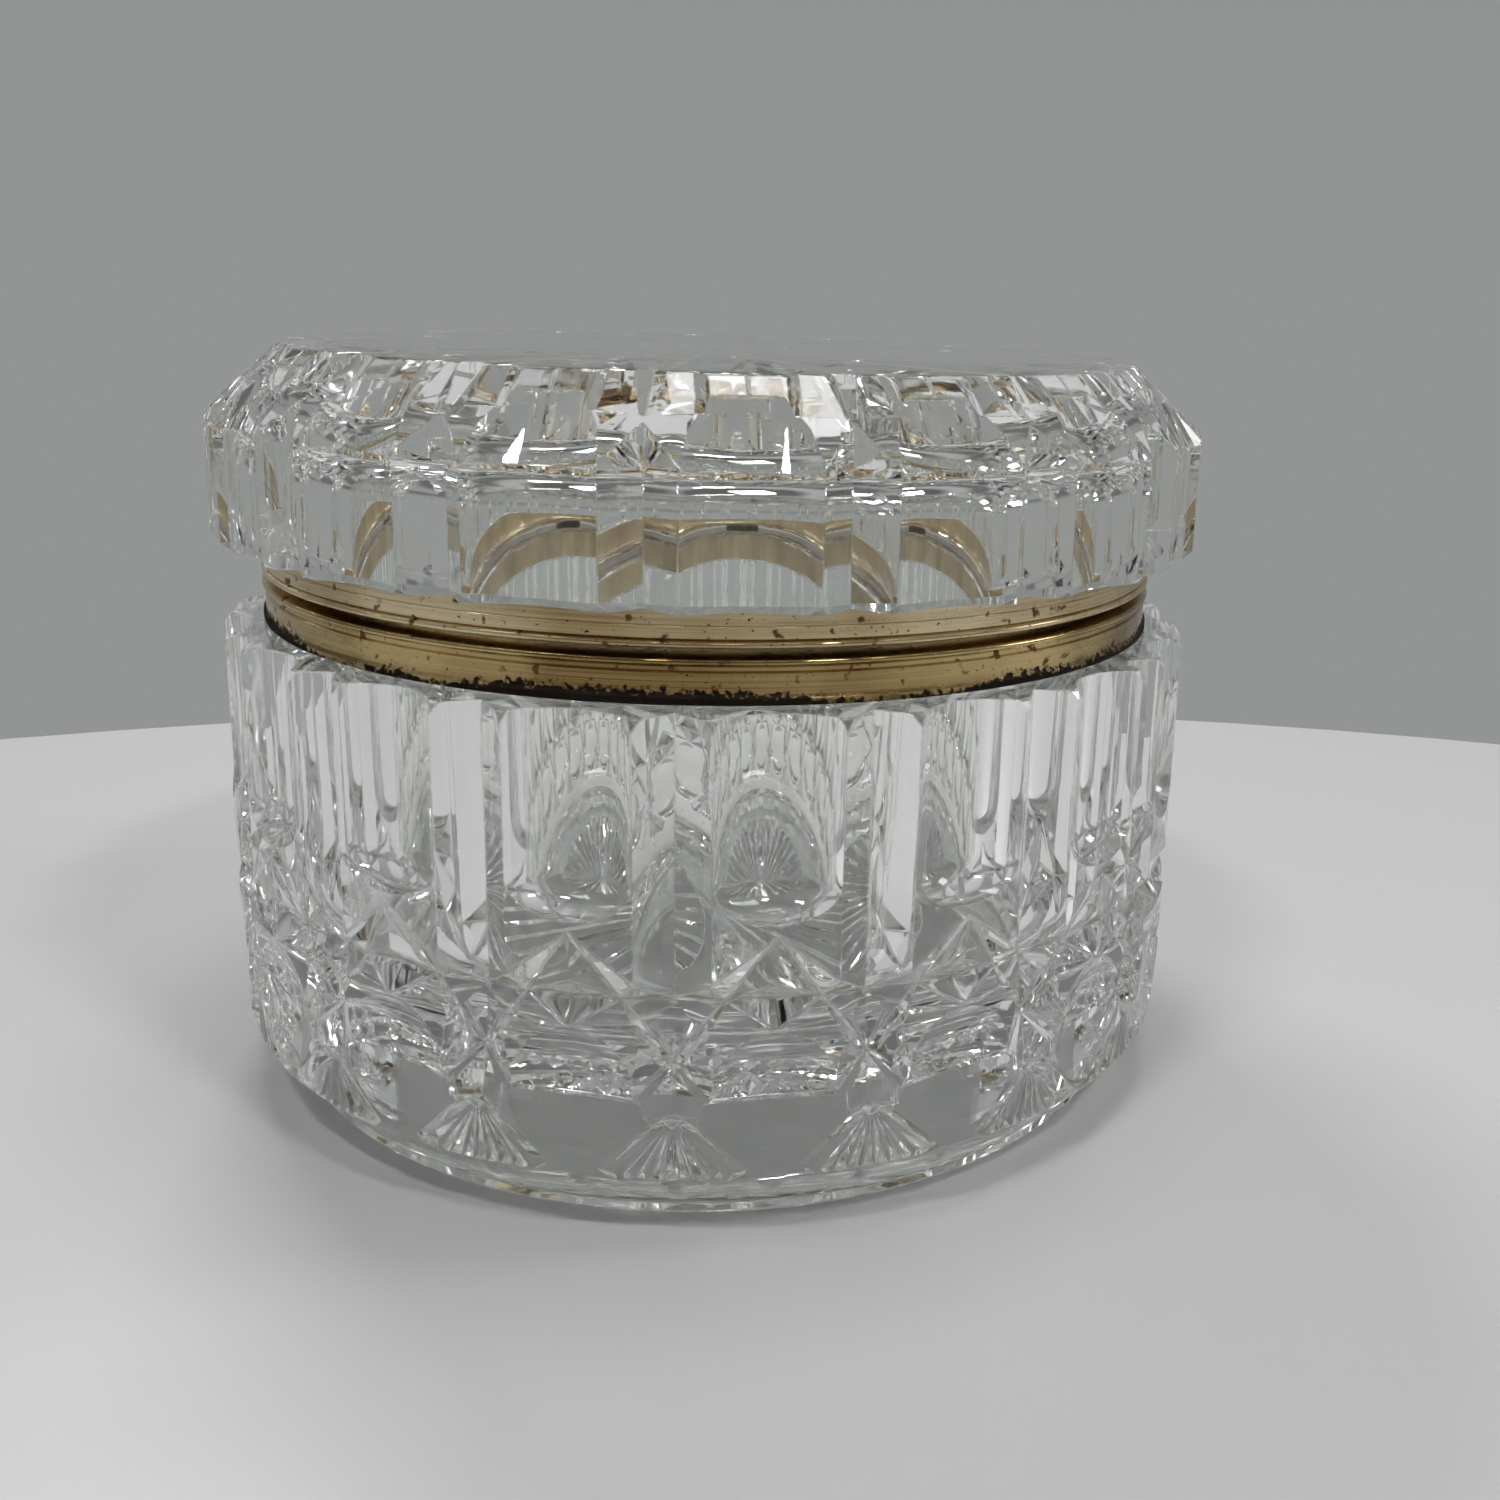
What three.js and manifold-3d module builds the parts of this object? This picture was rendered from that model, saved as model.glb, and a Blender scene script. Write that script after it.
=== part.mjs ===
// Round hinged trinket box: a thick cut-crystal bowl and a cut-crystal lid, each with its
// lip set in a gilt brass collar. The two collars are joined by a pin hinge at the back.
// Millimetres, +Z up, front of the box towards -Y, origin at the centre of the foot.

import * as THREE from 'three';
import { mergeVertices } from 'three/addons/utils/BufferGeometryUtils.js';
import Module from 'manifold-3d';

// ---------------------------------------------------------------- driving dimensions

const sectors = 18;              // repeats of the cut pattern round the box
const roundSegments = sectors * 3;
const clearance = 0.3;           // gap kept between neighbouring pieces
const sliverSize = 0.05;         // cut facets thinner than this are merged with their neighbours
const cutterOverrun = 3;         // how far cutting shapes stand past the glass they cut

const lidRadius = 62.5;
const bodyRadius = 61.9;
const footRadius = 54.6;
const boxHeight = 91.8;
const shoulderHeight = 58.5;     // flat glass shoulder that the base collar stands on
const seamHeight = 64.25;        // level at which lid and base part
const lidUnderside = 69.1;       // lowest level of the lid's overhang

const collarRadius = 56.7;
const collarWall = 0.8;
const neckRadius = 54.6;         // glass neck inside each collar
const neckSetback = 1.15;        // each neck ends this far short of the seam
const boreRadius = 50;           // inside of bowl and lid
const floorHeight = 17;          // top of the bowl's floor
const recessRadius = 47.5;       // deep recess under the floor
const recessHeight = 13;         // its ceiling, which carries the star
const roofHeight = 81;           // ceiling of the lid's hollow
const innerCorner = 12;          // radius between bore and floor
const lidCorner = 8;             // radius between the lid's bore and its ceiling

const basePatternTurn = -3.9;    // degrees from the front to the nearest narrow groove
const lidPatternTurn = -6.9;

const hingeAxisY = 59.4;
const knuckleRadius = 2;
const knuckleLength = 4.4;
const knuckleCount = 5;
const pinRadius = 0.8;

// ---------------------------------------------------------------- finishes

const crystal = { color: 0xdfe6e6, roughness: 0.05, metalness: 0 };
const giltBrass = { color: 0xc8ab72, roughness: 0.32, metalness: 1 };
const hingeBrass = { color: 0xb8995c, roughness: 0.38, metalness: 1 };
const cement = { color: 0xb08a4c, roughness: 0.5, metalness: 0.5 };

// ---------------------------------------------------------------- solids and booleans

const wasm = await Module();
wasm.setup();

const degrees = Math.PI / 180;
const sectorAngle = 360 / sectors;

function toSolid(geometry) {
  const bare = geometry.clone();
  bare.deleteAttribute('normal');
  bare.deleteAttribute('uv');
  const merged = mergeVertices(bare, 1e-5);
  const solid = new wasm.Manifold(new wasm.Mesh({
    numProp: 3,
    vertProperties: new Float32Array(merged.attributes.position.array),
    triVerts: new Uint32Array(merged.index.array),
  }));
  return solid;
}

function toGeometry(solid) {
  const mesh = solid.getMesh();
  const geometry = new THREE.BufferGeometry();
  geometry.setAttribute('position', new THREE.BufferAttribute(mesh.vertProperties, 3));
  geometry.setIndex(new THREE.BufferAttribute(mesh.triVerts, 1));
  geometry.computeVertexNormals();
  return geometry;
}

function join(solids) {
  return solids.reduce((whole, next) => whole.add(next));
}

function cutAll(body, cutters) {
  const cut = cutters.reduce((rest, cutter) => rest.subtract(cutter), body);
  return cut.simplify(sliverSize);
}

function namedMesh(name, geometry, finish) {
  const mesh = new THREE.Mesh(geometry, new THREE.MeshStandardMaterial(finish));
  mesh.name = name;
  return mesh;
}

// ---------------------------------------------------------------- shape helpers

// A solid of revolution about Z from [radius, height] points, listed upwards on the outside.
function revolve(outline, segments = roundSegments) {
  const points = outline.map(([radius, height]) => new THREE.Vector2(radius, height));
  const geometry = new THREE.LatheGeometry(points, segments);
  geometry.rotateX(Math.PI / 2);
  geometry.rotateZ(Math.PI / segments);
  return geometry;
}

// The same for a closed ring section, which returns to its first point.
function revolveRing(section) {
  return revolve([...section, section[0]]);
}

// Points of a quarter arc from one angle to another, angles in degrees.
function arcPoints(centreRadius, centreHeight, radius, fromAngle, toAngle, steps) {
  const points = [];
  for (let step = 0; step <= steps; step += 1) {
    const angle = (fromAngle + (toAngle - fromAngle) * step / steps) * degrees;
    points.push([centreRadius + radius * Math.cos(angle), centreHeight + radius * Math.sin(angle)]);
  }
  return points;
}

// Turns a shape built along +X, the outward direction, to its place round the box.
// Azimuth 0 is the front of the box and +90 its right side.
function turnTo(geometry, azimuth) {
  return geometry.clone().rotateZ((azimuth - 90) * degrees);
}

function aroundBox(geometry, firstAzimuth) {
  const copies = [];
  for (let sector = 0; sector < sectors; sector += 1) {
    copies.push(toSolid(turnTo(geometry, firstAzimuth + sector * sectorAngle)));
  }
  return copies;
}

// A wedge whose sharp edge runs from start to end, opening towards the outward direction.
function wedge(start, end, halfAngle, reach, overrun = 0) {
  const along = end.clone().sub(start);
  const length = along.length();
  along.normalize();
  const outward = new THREE.Vector3(1, 0, 0).addScaledVector(along, -along.x).normalize();
  const across = new THREE.Vector3().crossVectors(along, outward);
  const side = reach * Math.tan(halfAngle * degrees);
  const outline = new THREE.Shape([
    new THREE.Vector2(0, 0),
    new THREE.Vector2(reach, -side),
    new THREE.Vector2(reach, side),
  ]);
  const geometry = new THREE.ExtrudeGeometry(outline, {
    depth: length + 2 * overrun,
    bevelEnabled: false,
  });
  const frame = new THREE.Matrix4().makeBasis(outward, across, along);
  frame.setPosition(start.clone().addScaledVector(along, -overrun));
  return geometry.applyMatrix4(frame);
}

// A hollow-ground flute: a round bar of the given radius whose inner side touches the line
// from start to end, both in the radial plane. Overrun lengthens it at both ends.
function flute(start, end, radius, overrun, segments) {
  const along = end.clone().sub(start).normalize();
  const outward = new THREE.Vector3(along.z, 0, -along.x);
  const length = start.distanceTo(end) + 2 * overrun;
  const geometry = new THREE.CylinderGeometry(radius, radius, length, segments);
  const centre = start.clone().add(end).multiplyScalar(0.5).addScaledVector(outward, radius);
  const tilt = Math.atan2(along.x, along.z);
  geometry.rotateX(Math.PI / 2);
  geometry.rotateY(tilt);
  geometry.translate(centre.x, centre.y, centre.z);
  return geometry;
}

// The same shape on the other side of the radial plane. Mirroring turns every triangle inside
// out, so the first and last corner of each are exchanged.
function mirrored(geometry) {
  const copy = geometry.clone().scale(1, -1, 1);
  const position = copy.attributes.position;
  const first = new THREE.Vector3();
  const last = new THREE.Vector3();
  for (let corner = 0; corner < position.count; corner += 3) {
    first.fromBufferAttribute(position, corner);
    last.fromBufferAttribute(position, corner + 2);
    position.setXYZ(corner, last.x, last.y, last.z);
    position.setXYZ(corner + 2, first.x, first.y, first.z);
  }
  return copy;
}

// A point in the radial plane through +X, or turned from it by an azimuth.
function radialPoint(radius, height, azimuth = 0) {
  const angle = azimuth * degrees;
  return new THREE.Vector3(radius * Math.cos(angle), radius * Math.sin(angle), height);
}

// ---------------------------------------------------------------- bowl

const wideFluteRadius = 8.5;
const wideFluteFloor = 58.25;       // distance of a wide flute's deepest line from the axis
const wideFluteEnd = 41;            // level where its round end starts
const wideFluteEndDepth = 5;        // how far that blunt round end reaches down
const narrowGrooveFloor = 58.4;
const narrowGrooveAngle = 50;       // half the angle between its two sides
const narrowGrooveReach = 7;        // how far the cutting wedge opens outwards
const bandTop = 35.8;               // peaks of the zigzag band
const bandWaist = 28.1;             // level ring cut through the band
const bandBottom = 20.8;            // valleys of the zigzag band
const columnBottom = 14.8;          // where a groove runs out below its valley
const bodyBottom = 8.4;             // where the wall turns in to the foot
const footTop = 1.7;
const recessDraft = 1.8;            // how much wider the recess is at its mouth

function bowlOutline() {
  return [
    [0, recessHeight],
    [recessRadius, recessHeight],
    [recessRadius + recessDraft, 0],
    [footRadius, 0],
    [footRadius + 0.6, 0.5],
    [footRadius + 0.6, footTop],
    [bodyRadius - 0.4, bodyBottom],
    [bodyRadius, shoulderHeight - 1.3],
    [bodyRadius - 1, shoulderHeight],
    [neckRadius, shoulderHeight],
    [neckRadius, seamHeight - neckSetback],
    [boreRadius + 0.5, seamHeight - neckSetback],
    ...arcPoints(boreRadius - innerCorner, floorHeight + innerCorner, innerCorner, 0, -90, 4),
    [0, floorHeight],
  ];
}

// Wide hollow flutes with blunt round lower ends.
function wideFlutes() {
  const roundEnd = arcPoints(0, 0, wideFluteRadius, -67.5, 0, 3).map(([radius, drop]) => (
    [radius, wideFluteEnd + drop * wideFluteEndDepth / wideFluteRadius]));
  const bar = revolve([
    [0, wideFluteEnd - wideFluteEndDepth],
    ...roundEnd,
    [wideFluteRadius, shoulderHeight + cutterOverrun],
    [0, shoulderHeight + cutterOverrun],
  ], 20);
  bar.translate(wideFluteFloor + wideFluteRadius, 0, 0);
  return aroundBox(bar, basePatternTurn + sectorAngle / 2);
}

// Narrow grooves between the flutes. Below the band's waist they run out to the surface.
function narrowGrooves() {
  const upright = wedge(
    radialPoint(narrowGrooveFloor, bandWaist - clearance),
    radialPoint(narrowGrooveFloor, shoulderHeight + cutterOverrun),
    narrowGrooveAngle, narrowGrooveReach);
  const runningOut = wedge(
    radialPoint(bodyRadius - 0.9, columnBottom),
    radialPoint(narrowGrooveFloor, bandWaist),
    narrowGrooveAngle, narrowGrooveReach);
  return [
    ...aroundBox(upright, basePatternTurn),
    ...aroundBox(runningOut, basePatternTurn),
  ];
}

// Mitre cuts that rise and fall round the band, and the level cut through its waist.
function bandCuts() {
  const mitreAngle = 60;
  const mitreDepth = 2.6;
  const peak = radialPoint(bodyRadius + 0.1, bandTop, sectorAngle / 2);
  const valley = radialPoint(bodyRadius - mitreDepth, bandBottom);
  const rising = wedge(valley, peak, mitreAngle, 6, 0.6);
  const falling = mirrored(rising);
  const waistDepth = 1.8;
  const waistAngle = 48;
  const waistReach = 4;
  const waistFloor = bodyRadius - waistDepth;
  const waistSpread = waistReach * Math.tan(waistAngle * degrees);
  const waist = revolveRing([
    [waistFloor, bandWaist],
    [waistFloor + waistReach, bandWaist - waistSpread],
    [waistFloor + waistReach, bandWaist + waistSpread],
  ]);
  return [
    ...aroundBox(rising, basePatternTurn),
    ...aroundBox(falling, basePatternTurn),
    toSolid(waist),
  ];
}

// Shallow round hollows in the lower wall, one between each pair of columns.
function lowerLenses() {
  const lensRadius = 20;
  const lensFloor = 59.7;
  const lensHeight = 17;
  const lens = new THREE.SphereGeometry(lensRadius, 16, 20);
  lens.rotateZ(Math.PI / 2);
  lens.translate(lensFloor + lensRadius, 0, lensHeight);
  return aroundBox(lens, basePatternTurn + sectorAngle / 2);
}

// Star of shallow rays in the ceiling of the recess: each ray is a groove with an even slope.
function starCut() {
  const rayCount = sectors * 2;
  const starRadius = 30;
  const rayDepth = 1.5;
  const below = 2;
  const raySpread = 180 / rayCount;
  const rays = [];
  for (let index = 0; index < rayCount; index += 1) {
    const azimuth = basePatternTurn - 90 + index * 2 * raySpread;
    const corners = [
      radialPoint(0.5, recessHeight, azimuth),
      radialPoint(starRadius, recessHeight, azimuth - raySpread + 0.1),
      radialPoint(starRadius, recessHeight, azimuth + raySpread - 0.1),
      radialPoint(starRadius, recessHeight + rayDepth, azimuth),
      radialPoint(starRadius / 2, recessHeight - below, azimuth),
    ];
    rays.push(wasm.Manifold.hull(corners.map((corner) => corner.toArray())));
  }
  return rays;
}

function bowl() {
  const body = toSolid(revolve(bowlOutline()));
  return cutAll(body, [
    ...wideFlutes(),
    ...narrowGrooves(),
    ...bandCuts(),
    ...lowerLenses(),
    ...starCut(),
  ]);
}

// ---------------------------------------------------------------- lid

const lidShoulder = 83.7;           // top of the lid's upright wall
const lidTopRadius = 53.5;
const lidFluteRadius = 13.8;
const lidFluteFloor = 60.2;
const lidFluteTop = 82.7;
const facetFoot = 88.2;             // where the sloping shoulder meets the top facets
const facetFootRadius = 56.4;
const fluteSegments = 36;
const lidGrooveFloor = 58.6;
const lidGrooveAngle = 47;

function lidOutline() {
  return [
    [0, roofHeight],
    ...arcPoints(boreRadius - lidCorner, roofHeight - lidCorner, lidCorner, 90, 0, 3),
    [boreRadius + 0.5, seamHeight + neckSetback],
    [neckRadius, seamHeight + neckSetback],
    [neckRadius, lidUnderside],
    [lidRadius - 0.8, lidUnderside],
    [lidRadius, lidUnderside + 0.8],
    [lidRadius, lidShoulder],
    [lidTopRadius + 0.4, boxHeight - 0.35],
    [lidTopRadius - 0.3, boxHeight],
    [0, boxHeight],
  ];
}

// Wide flutes on the upright wall, and their continuation up the sloping shoulder.
function lidFlutes() {
  const upright = flute(
    radialPoint(lidFluteFloor, lidUnderside),
    radialPoint(lidFluteFloor, lidFluteTop),
    lidFluteRadius, cutterOverrun, fluteSegments);
  const sloping = flute(
    radialPoint(lidFluteFloor, lidFluteTop),
    radialPoint(facetFootRadius, facetFoot),
    lidFluteRadius, 2 * cutterOverrun, fluteSegments);
  const middle = lidPatternTurn + sectorAngle / 2;
  return [...aroundBox(upright, middle), ...aroundBox(sloping, middle)];
}

function lidGrooves() {
  const groove = wedge(
    radialPoint(lidGrooveFloor, lidUnderside),
    radialPoint(lidGrooveFloor, boxHeight),
    lidGrooveAngle, 6, cutterOverrun);
  return aroundBox(groove, lidPatternTurn);
}

// Flat facets round the top edge: whatever stands outside an 18-sided pyramid is taken off.
function lidTopFacets() {
  const topFlatRadius = lidTopRadius - 0.35;
  const bottom = facetFoot - 0.2;
  const top = boxHeight + 1;
  const outwardPerDrop = 0.95;
  const flatRadius = (height) => topFlatRadius + outwardPerDrop * (boxHeight - height);
  const cornerFactor = 1 / Math.cos(sectorAngle / 2 * degrees);
  const pyramid = new THREE.CylinderGeometry(
    flatRadius(top) * cornerFactor, flatRadius(bottom) * cornerFactor, top - bottom, sectors);
  const outside = new THREE.CylinderGeometry(
    lidRadius + cutterOverrun, lidRadius + cutterOverrun, top - bottom - 0.001, sectors);
  for (const block of [pyramid, outside]) {
    block.rotateX(Math.PI / 2);
    block.rotateZ(lidPatternTurn * degrees);
    block.translate(0, 0, (top + bottom) / 2);
  }
  return toSolid(outside).subtract(toSolid(pyramid));
}

function lid() {
  const body = toSolid(revolve(lidOutline()));
  return cutAll(body, [...lidFlutes(), ...lidGrooves(), lidTopFacets()]);
}

// ---------------------------------------------------------------- collars and cement

const lipRadius = 50.8;              // inner edge of the collars' turned-in lips
const lipThickness = 0.5;
const collarInside = collarRadius - collarWall;
const halfSeam = 0.35;               // half the dark gap between the two collars

function baseCollar() {
  const top = seamHeight - halfSeam;
  const bottom = shoulderHeight + clearance;
  return revolveRing([
    [collarInside, bottom],
    [collarRadius + 0.3, bottom],
    [collarRadius + 0.3, bottom + 0.8],
    [collarRadius, bottom + 1.1],
    [collarRadius, top - 1.4],
    [collarRadius - 0.2, top - 1.2],
    [collarRadius - 0.2, top - 0.7],
    [collarRadius + 0.3, top - 0.5],
    [collarRadius + 0.3, top],
    [lipRadius, top],
    [lipRadius, top - lipThickness],
    [collarInside, top - lipThickness],
  ]);
}

function lidCollar() {
  const bottom = seamHeight + halfSeam;
  const top = lidUnderside - clearance;
  return revolveRing([
    [lipRadius, bottom],
    [collarRadius + 0.3, bottom],
    [collarRadius + 0.3, bottom + 0.6],
    [collarRadius, bottom + 0.8],
    [collarRadius, top],
    [collarInside, top],
    [collarInside, bottom + lipThickness],
    [lipRadius, bottom + lipThickness],
  ]);
}

function cementRing(bottom, top) {
  const inside = neckRadius + clearance;
  const outside = collarInside - clearance;
  return revolveRing([
    [inside, bottom],
    [outside, bottom],
    [outside, top],
    [inside, top],
  ]);
}

// ---------------------------------------------------------------- hinge

const knucklePitch = knuckleLength + clearance;
const hingeHalfWidth = (knuckleCount * knucklePitch - clearance) / 2;
const leafInside = collarRadius + 0.6;
const leafThickness = 0.8;
const leafNear = 2.1;                // edge of each leaf nearest the seam, from the seam
const leafFar = 5.05;                // far edge of the base leaf
const lidLeafFar = 4.35;             // far edge of the lid leaf
const webHeight = 2.6;

function knuckleCentre(index) {
  return (index - (knuckleCount - 1) / 2) * knucklePitch;
}

// One barrel of the hinge with its web reaching back to the leaf at the given levels.
function knuckle(index, webBottom, webTop) {
  const centre = knuckleCentre(index);
  const barrel = new THREE.CylinderGeometry(knuckleRadius, knuckleRadius, knuckleLength, 20);
  barrel.rotateZ(Math.PI / 2);
  barrel.translate(centre, hingeAxisY, seamHeight);
  const webInside = leafInside + 0.1;
  const webDepth = hingeAxisY - knuckleRadius * 0.35 - webInside;
  const web = new THREE.BoxGeometry(knuckleLength, webDepth, webTop - webBottom);
  web.translate(centre, webInside + webDepth / 2, (webBottom + webTop) / 2);
  return toSolid(barrel).add(toSolid(web));
}

// The curved plate soldered to a collar, bent to the collar's own round.
function leafPlate(bottom, top) {
  const halfAngle = Math.asin((hingeHalfWidth + 0.4) / leafInside);
  const outline = new THREE.Shape();
  const centreAngle = Math.PI / 2;
  outline.absarc(0, 0, leafInside + leafThickness, centreAngle - halfAngle,
    centreAngle + halfAngle, false);
  outline.absarc(0, 0, leafInside, centreAngle + halfAngle, centreAngle - halfAngle, true);
  const plate = new THREE.ExtrudeGeometry(outline, {
    depth: top - bottom,
    bevelEnabled: false,
    curveSegments: 5,
  });
  plate.translate(0, 0, bottom);
  return toSolid(plate);
}

function pinBore() {
  const bore = new THREE.CylinderGeometry(
    pinRadius + clearance, pinRadius + clearance, 4 * hingeHalfWidth, 16);
  bore.rotateZ(Math.PI / 2);
  bore.translate(0, hingeAxisY, seamHeight);
  return toSolid(bore);
}

function hingeLeaf(bottom, top, webBottom, webTop, knuckles) {
  const pieces = [leafPlate(bottom, top)];
  for (const index of knuckles) pieces.push(knuckle(index, webBottom, webTop));
  return join(pieces).subtract(pinBore());
}

function baseLeaf() {
  return hingeLeaf(
    seamHeight - leafFar, seamHeight - leafNear, seamHeight - webHeight, seamHeight, [0, 2, 4]);
}

function lidLeaf() {
  return hingeLeaf(
    seamHeight + leafNear, seamHeight + lidLeafFar, seamHeight, seamHeight + webHeight, [1, 3]);
}

// The pin, with a peened head at each end.
function hingePin() {
  const headRadius = 1.35;
  const headThickness = 0.5;
  const shankEnd = hingeHalfWidth + clearance;
  const geometry = revolve([
    [0, -shankEnd - headThickness],
    [headRadius - 0.3, -shankEnd - headThickness],
    [headRadius, -shankEnd - headThickness / 2],
    [headRadius, -shankEnd],
    [pinRadius, -shankEnd],
    [pinRadius, shankEnd],
    [headRadius, shankEnd],
    [headRadius, shankEnd + headThickness / 2],
    [headRadius - 0.3, shankEnd + headThickness],
    [0, shankEnd + headThickness],
  ], 16);
  geometry.rotateY(Math.PI / 2);
  geometry.translate(0, hingeAxisY, seamHeight);
  return geometry;
}

// ---------------------------------------------------------------- assembly

const base = new THREE.Group();
base.add(
  namedMesh('base_crystal', toGeometry(bowl()), crystal),
  namedMesh('base_cement_ring',
    cementRing(shoulderHeight + clearance, seamHeight - halfSeam - lipThickness - clearance),
    cement),
  namedMesh('base_collar', baseCollar(), giltBrass),
  namedMesh('hinge_base_leaf', toGeometry(baseLeaf()), hingeBrass),
  namedMesh('hinge_pin', hingePin(), hingeBrass),
);

const lidGroup = new THREE.Group();
lidGroup.add(
  namedMesh('lid_crystal', toGeometry(lid()), crystal),
  namedMesh('lid_cement_ring',
    cementRing(seamHeight + halfSeam + lipThickness + clearance, lidUnderside - clearance),
    cement),
  namedMesh('lid_collar', lidCollar(), giltBrass),
  namedMesh('hinge_lid_leaf', toGeometry(lidLeaf()), hingeBrass),
);

const trinketBox = new THREE.Group();
trinketBox.add(base, lidGroup);

export default trinketBox;
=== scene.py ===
import math
from typing import NamedTuple

import bmesh
import bpy
from mathutils import Matrix, Vector


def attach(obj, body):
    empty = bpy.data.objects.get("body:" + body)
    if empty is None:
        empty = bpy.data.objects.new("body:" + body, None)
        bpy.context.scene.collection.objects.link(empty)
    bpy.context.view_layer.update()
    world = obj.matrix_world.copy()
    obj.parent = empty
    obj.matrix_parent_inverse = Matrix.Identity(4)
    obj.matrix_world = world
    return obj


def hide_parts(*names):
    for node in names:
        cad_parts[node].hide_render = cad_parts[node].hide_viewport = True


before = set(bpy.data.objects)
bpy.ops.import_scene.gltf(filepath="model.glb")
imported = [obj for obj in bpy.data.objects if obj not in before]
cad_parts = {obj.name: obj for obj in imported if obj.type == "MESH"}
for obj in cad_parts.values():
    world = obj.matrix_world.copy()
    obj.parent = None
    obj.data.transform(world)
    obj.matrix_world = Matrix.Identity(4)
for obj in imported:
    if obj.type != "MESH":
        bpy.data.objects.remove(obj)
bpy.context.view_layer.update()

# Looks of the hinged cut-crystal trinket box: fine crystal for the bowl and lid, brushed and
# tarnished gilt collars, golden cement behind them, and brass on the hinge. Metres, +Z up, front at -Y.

# ---------------------------------------------------------------- sizes, in millimetres and degrees

MM = 0.001
SECTORS = 18              # repeats of the cut pattern round the box
STEP = 360 / SECTORS
HALF = STEP / 2
BASE_TURN = -3.9          # azimuth of the narrow groove nearest the front of the bowl
LID_TURN = -6.9           # and of the lid

LID_R = 62.4
BODY_R = 61.9
FOOT_R = 54.6
HEIGHT = 91.79
SHOULDER_Z = 58.5         # top of the bowl's cut wall
SEAM_Z = 64.25            # middle of the gap between the collars
LID_BOTTOM_Z = 69.1       # lower edge of the lid's cut wall
COLLAR_R = 56.7
COLLAR_THICK = 0.75
COLLAR_GAP = 0.4          # from the crystal's shoulder to the collar
SEAM_GAP = 0.5            # from the seam to the face of either collar
NECK_R = 54.6             # the uncut ring of glass that carries a collar
NECK_SETBACK = 1.15       # from the seam to the rim of either neck
LIP_R = 50.9              # inner edge of the collars, where they turn in over the rims
BORE_R = 50
FLOOR_Z = 17
ROOF_Z = 81
INNER_CORNER = 12
LID_CORNER = 4
PUNT_R = 47.5             # the deep recess under the floor
PUNT_Z = 13
EDGE_ROUND = 0.3          # how far the shading rounds the edges of the glass
HINGE_EDGE_ROUND = 0.15   # and of the hinge

ROUND = 360               # segments of the crystal's round surfaces
FLUTE_SEGMENTS = 96       # and of the tools that cut it
LID_FLUTE_SEGMENTS = 240
GLINT_SEGMENTS = 24
CORNER_STEPS = 16


# ---------------------------------------------------------------- mesh helpers

def polar(radius, azimuth, height):
    """Point at an azimuth counted from the front of the box towards its right side."""
    angle = math.radians(azimuth)
    return Vector((radius * math.sin(angle), -radius * math.cos(angle), height))


def arc(centre_r, centre_z, radius, start, end, steps):
    """Points of an arc in the radial plane, angles in degrees."""
    points = []
    for step in range(steps + 1):
        angle = math.radians(start + (end - start) * step / steps)
        points.append((centre_r + radius * math.cos(angle), centre_z + radius * math.sin(angle)))
    return points


def new_object(name, bm):
    """A mesh object from a bmesh that is drawn in millimetres."""
    bmesh.ops.recalc_face_normals(bm, faces=bm.faces)
    mesh = bpy.data.meshes.new(name)
    bmesh.ops.scale(bm, vec=(MM, MM, MM), verts=bm.verts)
    bm.to_mesh(mesh)
    bm.free()
    obj = bpy.data.objects.new(name, mesh)
    bpy.context.scene.collection.objects.link(obj)
    return obj


def add_revolved(bm, outline, segments, closed=False, place=None):
    """Turns an outline of (radius, height) points about Z. Points on the axis become one vertex."""
    rings = []
    for radius, height in outline:
        if abs(radius) < 1e-6:
            rings.append([bm.verts.new((0, 0, height))])
            continue
        ring = []
        for index in range(segments):
            angle = 2 * math.pi * (index + 0.5) / segments
            ring.append(bm.verts.new((radius * math.cos(angle), radius * math.sin(angle), height)))
        rings.append(ring)
    count = len(rings) if closed else len(rings) - 1
    for index in range(count):
        lower, upper = rings[index], rings[(index + 1) % len(rings)]
        for side in range(segments):
            after = (side + 1) % segments
            corners = [lower[side % len(lower)], lower[after % len(lower)],
                       upper[after % len(upper)], upper[side % len(upper)]]
            face = list(dict.fromkeys(corners))
            if len(face) > 2:
                bm.faces.new(face)
    if place:
        verts = [vert for ring in rings for vert in ring]
        bmesh.ops.transform(bm, matrix=place, verts=verts)


def revolved(name, outline, segments=ROUND, closed=False):
    bm = bmesh.new()
    add_revolved(bm, outline, segments, closed)
    return new_object(name, bm)


def add_solid(bm, corners, faces):
    """A closed flat-faced solid."""
    verts = [bm.verts.new(corner) for corner in corners]
    for face in faces:
        bm.faces.new([verts[index] for index in face])


def wedge_matrix(start, end):
    """Local X outwards across a cut, local Z along it, for a cut from start to end."""
    along = (end - start).normalized()
    middle = (start + end) / 2
    outward = Vector((middle.x, middle.y, 0)).normalized()
    outward = (outward - along * outward.dot(along)).normalized()
    across = along.cross(outward)
    matrix = Matrix((outward, across, along)).transposed().to_4x4()
    matrix.translation = start
    return matrix


def add_wedge(bm, start, end, half_angle, reach, overrun):
    """A V-shaped cut with its valley from start to end."""
    side = reach * math.tan(math.radians(half_angle))
    length = (end - start).length
    matrix = wedge_matrix(start, end)
    corners = []
    for level in (-overrun, length + overrun):
        for x, y in ((0, 0), (reach, -side), (reach, side)):
            corners.append(matrix @ Vector((x, y, level)))
    faces = [(0, 2, 1), (3, 4, 5), (0, 1, 4, 3), (1, 2, 5, 4), (2, 0, 3, 5)]
    add_solid(bm, corners, faces)


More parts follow.
